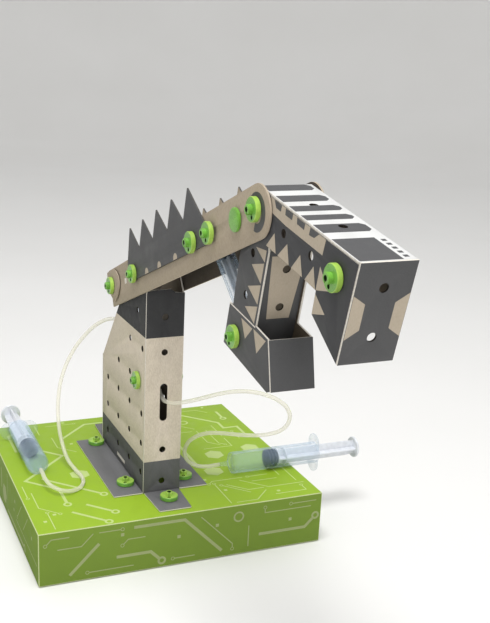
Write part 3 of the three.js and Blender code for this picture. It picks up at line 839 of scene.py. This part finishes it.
def build_tower():
    side = [
        (-CARD - GAP, FOOT), (-CARD - GAP, TOWER_TOP), *arc(*PIVOT, 15, -5, 200, 26), (-84, 221),
        (-TOWER_DEPTH, TOWER_BACK_TOP), (-TOWER_DEPTH, FOOT),
    ]
    holes = [circle(GRID_X[column], GRID_Z[row]) for column, row in SIDE_HOLES]
    holes += [circle(*spot) for spot in (PIVOT, (PIVOT[0], UNDER_PIVOT_Z), LIFT_PIN)]
    slot = (rectangle((-86, 58.5), (-60, 62)), card_edge, 0)
    for name, direction in SIDES:
        piece = Piece(TOWER)
        side_board(piece, direction, TOWER_HALF, side, holes, TOWER_LOOKS, [slot])
        piece.finish(f"tower_{name}_panel", "root", "kraft_card")

    front = [
        (-TOWER_HALF, FOOT), (TOWER_HALF, FOOT), (TOWER_HALF, TOWER_TOP), (9, TOWER_TOP + 1),
        (5, 255), (-9, 255), (-17.6, TOWER_TOP + 3), (-TOWER_HALF, TOWER_TOP),
    ]
    long_slot = arc(0, 160.5, 3.6, 0, 180, 14) + arc(0, 130.5, 3.6, 180, 360, 14)
    holes = [long_slot, *[circle(0, z) for z in (65, 97.5, 195, 229)]]
    shift = slide(-CARD / 2, 0, 0)
    piece = Piece(TOWER).add(filled(front, holes), TOWER_LOOKS, shift @ ACROSS)
    piece.finish("tower_front_panel", "root", "kraft_card")
    back = rectangle((-TOWER_HALF, FOOT), (TOWER_HALF, TOWER_BACK_TOP))
    shift = slide(-TOWER_DEPTH - GAP - CARD / 2, 0, 0)
    piece = Piece(TOWER).add(filled(back), flipped(TOWER_LOOKS), shift @ ACROSS)
    piece.finish("tower_back_panel", "root", "kraft_card")


def build_foot_flaps():
    thickness = CARD - GAP
    inner, outer = TOWER_HALF + GAP, TOWER_HALF + GAP + FLAP_WIDTH
    behind = -TOWER_DEPTH - CARD - GAP * 2
    end, root, tip = -FLAP_LENGTH, END_FLAP_ROOT / 2, END_FLAP_TIP / 2
    front, back = FRONT_FLAP_LENGTH, behind - BACK_FLAP_LENGTH
    flaps = {
        "near": ([(0, -inner), (0, -outer), (end, -outer), (end, -inner)], ("near_front", "near_back")),
        "far": ([(0, inner), (0, outer), (end, outer), (end, inner)], ("far_front", "far_back")),
        "front": ([(GAP, -root), (front, -tip), (front, tip), (GAP, root)], ("front",)),
        "back": ([(behind, -root), (back, -tip), (back, tip), (behind, root)], ()),
    }
    lift = slide(0, 0, FOOT + thickness / 2)
    for name, (outline, rivets) in flaps.items():
        holes = [circle(*FOOT_RIVETS[rivet]) for rivet in rivets]
        board = filled(rounded(outline, 1.2), holes, thickness)
        # The flap tops take the lighter flap ink, painted light.
        piece = Piece(TOWER).add(board, (flap_ink_painted_light, *CARD_SIDES[1:]), lift)
        piece.finish(f"foot_flap_{name}", "root", "dark_card")
    mesh = snap_rivet(4)
    for name, (x, y) in FOOT_RIVETS.items():
        turn = slide(x, y, FOOT + CARD) @ spun(70, "Z")
        Piece(TOWER).add(mesh, FOOT_GREEN, turn).finish(f"foot_rivet_{name}", "root", "green_plastic")


# ---------- arm ----------
# The arm boards' inner faces and undersides take the painted shade kraft.
KRAFT_LOOKS = (kraft, kraft_painted_shade, kraft_edge, hole_wall_painted_shade)
# The spine plates' cut edges take the dark painted shade edge.
SPINE_LOOKS = (dark_ink, kraft, cut_edge_painted_shade, hole_wall_painted_shade)
SPINE_PITCH = 38.8


def build_arm():
    middle, radius = (ARM_TOP + ARM_BOTTOM) / 2, (ARM_TOP - ARM_BOTTOM) / 2
    panel = [(ARM_TAIL, ARM_TOP), (ARM_TAIL + 4, ARM_BOTTOM), *arc(273, middle, radius, -90, 90, 30)]
    holes = [circle(x, 0) for x in (PIN_TAIL, 0, PIN_JAW_CYLINDER, RIVET_SPINE, RIVET_FLAT, HEAD_PIVOT)]
    ring = arc(HEAD_PIVOT, middle, 13.4, 130, -125, 40) + arc(HEAD_PIVOT, middle, 7.6, -125, 130, 40)
    slot = rectangle((-37, -4), (-31, 1))
    tips = [i * SPINE_PITCH for i in range(5)]
    spine = [(-11, -5.5), (-17, 12), (tips[0], 42.5)]
    for tip in tips[1:]:
        spine += [(tip - SPINE_PITCH * 0.43, 19.5), (tip, 42.5)]
    spine += [(181, 11), (190, -7)]

    def lower_edge(x):
        return -5.5 - 1.5 * (x + 11) / 201

    def tab_print(x):
        low, radius = lower_edge(x), 4.6
        return [(x + radius, low + 0.3), *arc(x, low + 0.8, radius, 0, 180, 14), (x - radius, low + 0.3)]

    tabs = [tab_print(x) for x in (37, 72, 113)]
    for name, side in SIDES:
        piece = Piece(ARM)
        prints = [(ring, dark_ink, 0), (slot, card_edge, 0)]
        side_board(piece, side, ARM_OUTER, panel, holes, KRAFT_LOOKS, prints)
        piece.finish(f"arm_{name}_panel", "arm", "kraft_card")
        piece = Piece(ARM)
        spine_holes = [circle(0, 0), circle(PIN_JAW_CYLINDER, 0)]
        prints = [(tab, kraft_print, 0) for tab in tabs]
        side_board(piece, side, SPINE_OUTER, spine, spine_holes, SPINE_LOOKS, prints)
        piece.finish(f"spine_{name}_plate", "arm", "dark_card")

    half = ARM_INNER - GAP
    web_middle = ARM_TOP - 0.2 - CARD / 2
    for name, start, end in (("rear", 20, 104), ("front", 168, 236)):
        board = filled(rectangle((start, -half), (end, half)))
        piece = Piece(ARM).add(board, KRAFT_LOOKS, slide(0, 0, web_middle))
        piece.finish(f"arm_{name}_web", "arm", "kraft_card")

    sheet = 1.0
    wrap_x = ARM_TAIL - GAP - sheet
    tab = [
        (wrap_x, 15), (wrap_x + 0.6, -5), (-72, -17), (-60, -12), (-52, -5), (-50.5, 0), (-52, 6),
        (-58, 12), (-66, 15),
    ]
    wrap = Piece(ARM)
    for _, side in SIDES:
        board = filled(rounded(tab, 3), [circle(PIN_TAIL, 0)], sheet)
        looks = KRAFT_LOOKS if side < 0 else flipped(KRAFT_LOOKS)
        wrap.add(board, looks, side_turn(side, SPINE_OUTER, sheet))
    cap = rectangle((0.1 - SPINE_OUTER, -4), (SPINE_OUTER - 0.1, 14.5))
    turn = slide(wrap_x + sheet / 2, 0, 0) @ ACROSS
    wrap.add(filled(cap, thickness=sheet), flipped(KRAFT_LOOKS), turn)
    wrap.finish("tail_wrap", "arm", "kraft_card")

    spine_seat, arm_seat = SPINE_OUTER + GAP, ARM_OUTER + GAP
    build_pin("tail_pin", ARM, "arm", PIN_TAIL, 0, spine_seat)
    build_pin("jaw_cylinder_pin", ARM, "arm", PIN_JAW_CYLINDER, 0, spine_seat)
    build_side_rivets("pivot_rivet", ARM, 0, 0, spine_seat, TOWER_HALF - CARD - GAP)
    build_side_rivets("spine_rivet", ARM, RIVET_SPINE, 0, spine_seat, ARM_INNER - GAP)
    build_side_rivets("flat_rivet", ARM, RIVET_FLAT, 0, arm_seat, ARM_INNER - GAP, flat=True)
    build_side_rivets("head_pivot_rivet", ARM, HEAD_PIVOT, 0, arm_seat, JAW_OUTER - CARD - GAP)


# ---------- head ----------
HEAD_FRONT = HEAD_LENGTH - CARD - GAP
HEAD_FRONT_LOW = -40.5
TOP_SLOPE = 0.075
TEETH = [(27, -4.8, 18.6, 33.1), (45.7, -3.4, 36, 52.5), (63.9, -1.9, 56, 71), (81.7, -0.7, 74.5, 88.6)]
RIB_SLOTS = [
    [(19.4, 15.1), (30.3, 16), (30.1, 11.5), (23.3, 11.1)],
    [(35.9, 16.3), (46.2, 17.2), (46.1, 13), (36.6, 12.2)],
    [(51.8, 17.4), (62.7, 18.3), (62.6, 14.1), (53, 13.6)],
    [(69.5, 18.9), (80.7, 19.8), (76, 15.1), (69.4, 14)],
]
TOP_BARS = [(-2.6, 9), (18.5, 30), (38, 47.5), (54.3, 63), (70.5, 84)]


def top_at(x):
    return 15.5 + (x + 3) * TOP_SLOPE


def head_bottom(x):
    return -17.6 + (x - 18.4) * 0.0755 if x < 74 else -13.4 + (x - 74) * 0.045


def build_head():
    lid_gap = CARD + GAP
    side = [
        (-3, top_at(-3) - lid_gap), *arc(0, 0, 13.5, 103, 262, 24), (18.4, -17.6), (74, -13.4), (89.5, -12.7),
        (90.3, -28.2), (HEAD_FRONT, HEAD_FRONT_LOW), (HEAD_FRONT, top_at(HEAD_FRONT) - lid_gap),
    ]
    holes = [circle(*spot) for spot in ((0, 0), (38.6, 0.5), (76, 3.5), HEAD_SIDE_RIVET)]
    band = [(13.8, top_at(13.8) - 2), (19.3, 5.9), (39.1, 6.2), (88.7, 10.1), (89.2, top_at(89.2) - 2)]
    teeth = [[(left, head_bottom(left) + 0.2), (right, head_bottom(right) + 0.2), (tip_x, tip_z)]
             for tip_x, tip_z, left, right in TEETH]
    teeth += [[(89, 3), (89.4, -12.4), (103, -6)], [(89.9, -14.6), (90.6, -28), (104.6, -20.7)]]
    prints = [(band, kraft_print, 0), *[(tooth, kraft_print, 0) for tooth in teeth]]
    prints += [(dark, dark_ink, 1) for dark in RIB_SLOTS]
    for name, direction in SIDES:
        piece = Piece(HEAD)
        side_board(piece, direction, HEAD_OUTER, side, holes, (head_side_ink_painted_shade, *CARD_SIDES[1:]), prints)
        piece.finish(f"head_{name}_panel", "arm", "dark_card")

    start = slide(-3, 0, top_at(-3) - CARD / 2)
    turn = start @ Matrix.Rotation(-math.atan(TOP_SLOPE), 4, "Y") @ slide(3, 0, 0)
    top = rectangle((-3, -HEAD_OUTER), (HEAD_FRONT + 0.4, HEAD_OUTER))
    holes = [circle(x, 0) for x in TOP_HOLES]
    piece = Piece(HEAD).add(filled(top, holes), (white_ink, *CARD_SIDES[1:]), turn)
    lift = turn @ slide(0, 0, CARD / 2)
    edge, chamfer = HEAD_OUTER - 0.6, 3.0
    bars = [[(low, -edge), (high, -edge), (high, edge - 2 - chamfer), (high - chamfer, edge - 2),
             (low + chamfer, edge - 2), (low, edge - 2 - chamfer)] for low, high in TOP_BARS]
    bars += [rectangle((94, -edge), (HEAD_FRONT - 0.3, 10))]
    bars += [rectangle((x, 12.4), (x + 3, 15.6)) for x in range(97, 124, 6)]
    for bar in bars:
        drills = [circle(x, 0) for x in TOP_HOLES if bar[0][0] < x < bar[1][0]]
        piece.add(printed(bar, drills), dark_ink, lift)
    piece.finish("head_top_panel", "arm", "dark_card")

    front = rectangle((-HEAD_OUTER, HEAD_FRONT_LOW), (HEAD_OUTER, top_at(HEAD_LENGTH)))
    turn = slide(HEAD_LENGTH - CARD / 2, 0, 0) @ ACROSS
    piece = Piece(HEAD).add(filled(front, [circle(0, 9), circle(0, -23)]), CARD_SIDES, turn)
    lift = turn @ slide(0, 0, CARD / 2)
    edge = HEAD_OUTER - 0.3
    for _, direction in SIDES:
        patch = [(edge, 5), (9.8, -0.8), (9.7, -17.6), (edge, -23.6)]
        piece.add(printed([(direction * y, z) for y, z in patch]), kraft_print, lift)
    piece.finish("head_front_panel", "arm", "dark_card")
    build_side_rivets("head_side_rivet", HEAD, *HEAD_SIDE_RIVET, HEAD_OUTER + GAP, HEAD_OUTER - CARD - GAP)


# ---------- lower jaw ----------
JAW_TEETH = [
    [(1.4, -26.9), (17.1, -30.8), (16.9, -22.2)], [(-0.7, -41), (16.7, -31.8), (16.9, -46.9)],
    [(-1.1, -57.9), (17.3, -47.8), (17.3, -62.6)], [(-0.2, -73.5), (17.8, -63.9), (17.3, -77.6)],
    [(-2.5, -84.4), (16.4, -82.2), (8.1, -95.2)], [(18.2, -81.4), (38, -79.3), (28.3, -94.9)],
]
BUCKET_RIM = [(-24.4, -84), (20.2, -78.9)]
BUCKET_SLOPE = 0.078
BUCKET_LIP = (42.0, -76.5)
BUCKET_TOE = (58.0, -108.0)


def build_jaw():
    side = [
        (19.6, -22), *arc(0, 0, 14, -20, 200, 30), (-21.5, -44), (-19, -82), (-24.5, -84), (-24.5, -117.5),
        (52, -111.5), (56.2, -108), (40.2, -76.5), (20.2, -78),
    ]
    holes = [circle(*spot) for spot in ((0, 0), (-2, -33), (-2.5, -65.7), JAW_PIN)]
    for name, direction in SIDES:
        piece = Piece(HEAD)
        prints = [(tooth, kraft_print, 0) for tooth in JAW_TEETH] + [(ribbon(BUCKET_RIM, 1), card_edge, 1)]
        side_board(piece, direction, JAW_OUTER, side, holes, CARD_SIDES, prints)
        piece.finish(f"jaw_{name}_panel", "lower_jaw", "dark_card")

    half = JAW_OUTER - CARD - GAP
    web = rectangle((-half, -110.5), (half, -22))
    turn = slide(18.5 - CARD / 2, 0, 0) @ ACROSS
    holes = [circle(0, z) for z in WEB_HOLES]
    piece = Piece(HEAD).add(filled(web, holes), CARD_SIDES, turn)
    patch = printed([(-12.5, -26), (12.5, -26), (8.6, -74), (-8.6, -74)], holes)
    piece.add(patch, kraft_print, turn @ slide(0, 0, CARD / 2))
    piece.finish("jaw_leg_web", "lower_jaw", "dark_card")

    floor = filled(rectangle((0, -half), (74.7, half)))
    turn = slide(-24.5, 0, -117.2 + CARD / 2)
    turn = turn @ Matrix.Rotation(-math.atan(BUCKET_SLOPE), 4, "Y")
    Piece(HEAD).add(floor, flipped(CARD_SIDES), turn).finish("jaw_bucket_floor", "lower_jaw", "dark_card")

    (lip_x, lip_z), (toe_x, toe_z) = BUCKET_LIP, BUCKET_TOE
    lean = math.atan2(toe_x - lip_x, lip_z - toe_z)
    front = filled(rectangle((-JAW_OUTER, -math.dist(BUCKET_LIP, BUCKET_TOE)), (JAW_OUTER, 0)))
    turn = slide(lip_x - CARD / 2, 0, lip_z) @ Matrix.Rotation(-lean, 4, "Y") @ ACROSS
    Piece(HEAD).add(front, CARD_SIDES, turn).finish("jaw_bucket_front", "lower_jaw", "dark_card")
    build_pin("jaw_pin", HEAD, "lower_jaw", *JAW_PIN, JAW_OUTER + GAP)


# ---------- working cylinders ----------
CYLINDER_R = 7.8
CYLINDER_BORE = 6.6
CYLINDER_END = 76.0
CYLINDER_FLOOR = 8.0
ROD_REACH = 81.0
CYLINDER_STOPPER = 8.0
EYE_R = 8.5
ROD_VANE = 4.6
GROOVE = 1.8


def ribbed_piston(radius, start, length, ribs, cone=0.0):
    """A rubber piston along +Z with proud ribs and, for a hand syringe, a coned face."""
    profile = [(0, start), (radius - 0.5, start + cone), (radius, start + cone + 0.5)]
    pitch = (length - cone) / ribs
    inner = radius - GROOVE
    for i in range(ribs):
        low = start + cone + i * pitch
        profile += [(radius, low + pitch * 0.45), (inner, low + pitch * 0.52), (inner, low + pitch * 0.93)]
        profile += [(radius, low + pitch)] if i + 1 < ribs else [(inner, start + length)]
    return lathe([*profile, (0, start + length)])


def build_cylinder(label, start, end):
    """start and end are the pins' places, in metres."""
    length = (end - start).length / MM
    place = local_frame(start, math.degrees(math.atan2(end.z - start.z, end.x - start.x)))
    tube = lathe([
        (0, -12), (1.6, -12), (2, -11.6), (2.3, -6.6), (CYLINDER_R - 1.5, -6.6), (CYLINDER_R, -5),
        (CYLINDER_R, HOLE_R + 2), (CYLINDER_R, CYLINDER_END), (CYLINDER_BORE, CYLINDER_END),
        (CYLINDER_BORE, CYLINDER_FLOOR), (0, CYLINDER_FLOOR),
    ])
    drill = moved(lathe([(0, -15), (HOLE_R, -15), (HOLE_R, 15), (0, 15)]), ALONG_SIDE)
    tube = boolean(moved(tube, ABOUT_X), drill)
    flange = filled(rounded(rectangle((-13, -CYLINDER_R), (13, CYLINDER_R)), 3),
                    [circle(0, 0, CYLINDER_R - 0.1, 48)], 2.5)
    piece = Piece(place).add(tube, clear_barrel)
    piece.add(flange, clear_barrel, slide(CYLINDER_END - 1.25, 0, 0) @ ACROSS)
    piece.finish(f"{label}_cylinder_barrel", f"{label}_barrel", "clear_plastic")

    face = length - ROD_REACH
    piston = ribbed_piston(CYLINDER_BORE - GAP, face, CYLINDER_STOPPER, 2)
    piece = Piece(place).add(piston, black_rubber, ABOUT_X)
    piece.finish(f"{label}_cylinder_piston", f"{label}_rod", "black_rubber")
    vane = ROD_VANE
    rod_start, rod_end = face + CYLINDER_STOPPER + GAP, length - EYE_R + 1
    piece = Piece(place).add(block((rod_start, -vane, -1), (rod_end, vane, 1)), white_plastic)
    piece.add(block((rod_start, -1, -vane), (rod_end, 1, vane)), white_plastic)
    eye = filled(circle(0, 0, EYE_R, 40), [circle(0, 0, 5.6, 32)], 8, 0.6)
    piece.add(eye, white_plastic, slide(length, 0, 0) @ ALONG_SIDE)
    piece.finish(f"{label}_cylinder_rod", f"{label}_rod", "white_plastic")


# ---------- hand syringes ----------
HAND_R = 11.0
HAND_BORE = 9.6
HAND_LENGTH = 96.0
NOZZLE = 12.0
END_WALL = 3.0
STOPPER = 13.0
DRAWN = 34.0
SYRINGE_Z = CARTON_TOP + HAND_R + GAP


def build_hand_syringe(label, tip, turn):
    """A syringe lying along its own +X from the nozzle tip (millimetres), turned by turn degrees."""
    place = local_frame(Vector((*tip, SYRINGE_Z)) * MM) @ spun(turn, "Z")
    place = place @ spun(HAND_ROLL[label], "X")
    end = NOZZLE + HAND_LENGTH
    tube = lathe([
        (0, 0), (1.7, 0), (2, 0.3), (2.6, NOZZLE - 3), (4.2, NOZZLE - 2.4), (6, NOZZLE - 0.3),
        (HAND_R - 1.2, NOZZLE), (HAND_R - 0.3, NOZZLE + 0.6), (HAND_R, NOZZLE + 1.8),
        (HAND_R, end - 0.4), (HAND_R - 0.4, end),
        (HAND_BORE, end), (HAND_BORE, NOZZLE + END_WALL + 1), (HAND_BORE - 1.5, NOZZLE + END_WALL),
        (0, NOZZLE + END_WALL - 0.5),
    ], 64)
    ears = arc(0, 10.5, 9.8, 0, 180, 24) + arc(0, -10.5, 9.8, 180, 360, 24)
    flange = filled(ears, thickness=2.4, rounding=0.5)
    piece = Piece(place).add(tube, clear_barrel, ABOUT_X)
    flange = boolean(flange, lathe([(0, -5), (HAND_R - 0.15, -5), (HAND_R - 0.15, 5), (0, 5)]))
    piece.add(flange, clear_barrel, slide(end - 1.8, 0, 0) @ ACROSS)
    piece.finish(f"{label}_hand_barrel", "root", "clear_plastic")

    face = NOZZLE + END_WALL + DRAWN
    piston = ribbed_piston(HAND_BORE - GAP, face, STOPPER, 3, 2)
    piece = Piece(place).add(piston, black_rubber, ABOUT_X)
    piece.finish(f"{label}_hand_piston", f"{label}_plunger", "black_rubber")
    rod_start, thumb, vane = face + STOPPER + GAP, face + HAND_LENGTH + 8, HAND_BORE - 1.6
    piece = Piece(place)
    for turned_by in (0, 90):
        bar = filled([(rod_start, -vane), (thumb - 8, -vane), (thumb, -vane + 0.8), (thumb, vane - 0.8),
                      (thumb - 8, vane), (rod_start, vane)], thickness=1.6)
        piece.add(bar, white_plastic, spun(turned_by, "X"))
    disc_r = vane + 0.9
    disc = [(0, -0.6), (vane + 0.5, -0.6), (disc_r, -0.2), (disc_r, 0.2), (vane + 0.5, 0.6), (0, 0.6)]
    for spot in (rod_start + 0.6, rod_start + 9):
        piece.add(lathe(disc), white_plastic, slide(spot, 0, 0) @ ABOUT_X)
    plate = [(0, -1.25), (HAND_R - 0.6, -1.25), (HAND_R, -0.6), (HAND_R, 0.6), (HAND_R - 0.6, 1.25),
             (HAND_R - 2, 1.25), (HAND_R - 2.6, 0.8), (0, 0.8)]
    piece.add(lathe(plate), white_plastic, slide(thumb + 1, 0, 0) @ ABOUT_X)
    piece.finish(f"{label}_hand_plunger", f"{label}_plunger", "white_plastic")


# ---------- floor and light ----------
# The floor turns up into a round pale wall: (radius, height) in metres.
BACKDROP = [(0, 0), (3.0, 0), (3.5, 0.06), (3.9, 0.25), (4.2, 0.6), (4.35, 1.1), (4.4, 1.8), (4.4, 3.2)]


def build_stage():
    look = Look("floor", Roughness=0.9, Specular_IOR_Level=0.2)
    cloud = look.noise(400, 2)
    look.feed("Base Color", look.mix(cloud, linear((236, 235, 232)), linear((242, 241, 239))))
    mesh = lathe(BACKDROP, 96)
    mesh.shade_smooth()
    mesh.materials.append(look.material)
    floor = in_scene("floor", mesh)

    world = bpy.data.worlds.new("studio")
    world.use_nodes = True
    background = world.node_tree.nodes["Background"]
    background.inputs["Color"].default_value = linear((240, 241, 243))
    background.inputs["Strength"].default_value = WORLD_LIGHT
    bpy.context.scene.world = world
    for name, spot, size, power in LIGHTS:
        data = bpy.data.lights.new(name, "AREA")
        data.shape = "DISK"
        data.size = size
        data.energy = power
        light = in_scene(name, data)
        aim = Vector((0.06, 0, 0.2)) - Vector(spot)
        light.matrix_world = Matrix.Translation(spot) @ aim.to_track_quat("-Z", "Y").to_matrix().to_4x4()


build_carton()
build_tower()
build_foot_flaps()
build_pin("lift_pin", TOWER, "root", *LIFT_PIN, TOWER_HALF + GAP)
build_arm()
build_head()
build_jaw()
tail = ARM @ Vector((PIN_TAIL, 0, 0))
build_cylinder("lift", Vector(joints["lift_cylinder_swing"]["pos_m"]), tail)
jaw_pin = HEAD @ Vector((JAW_PIN[0], 0, JAW_PIN[1]))
build_cylinder("jaw", Vector(joints["jaw_cylinder_swing"]["pos_m"]), jaw_pin)
build_hand_syringe("right", (59, 60), 90)
build_hand_syringe("left", (18, -114), 180)
build_stage()
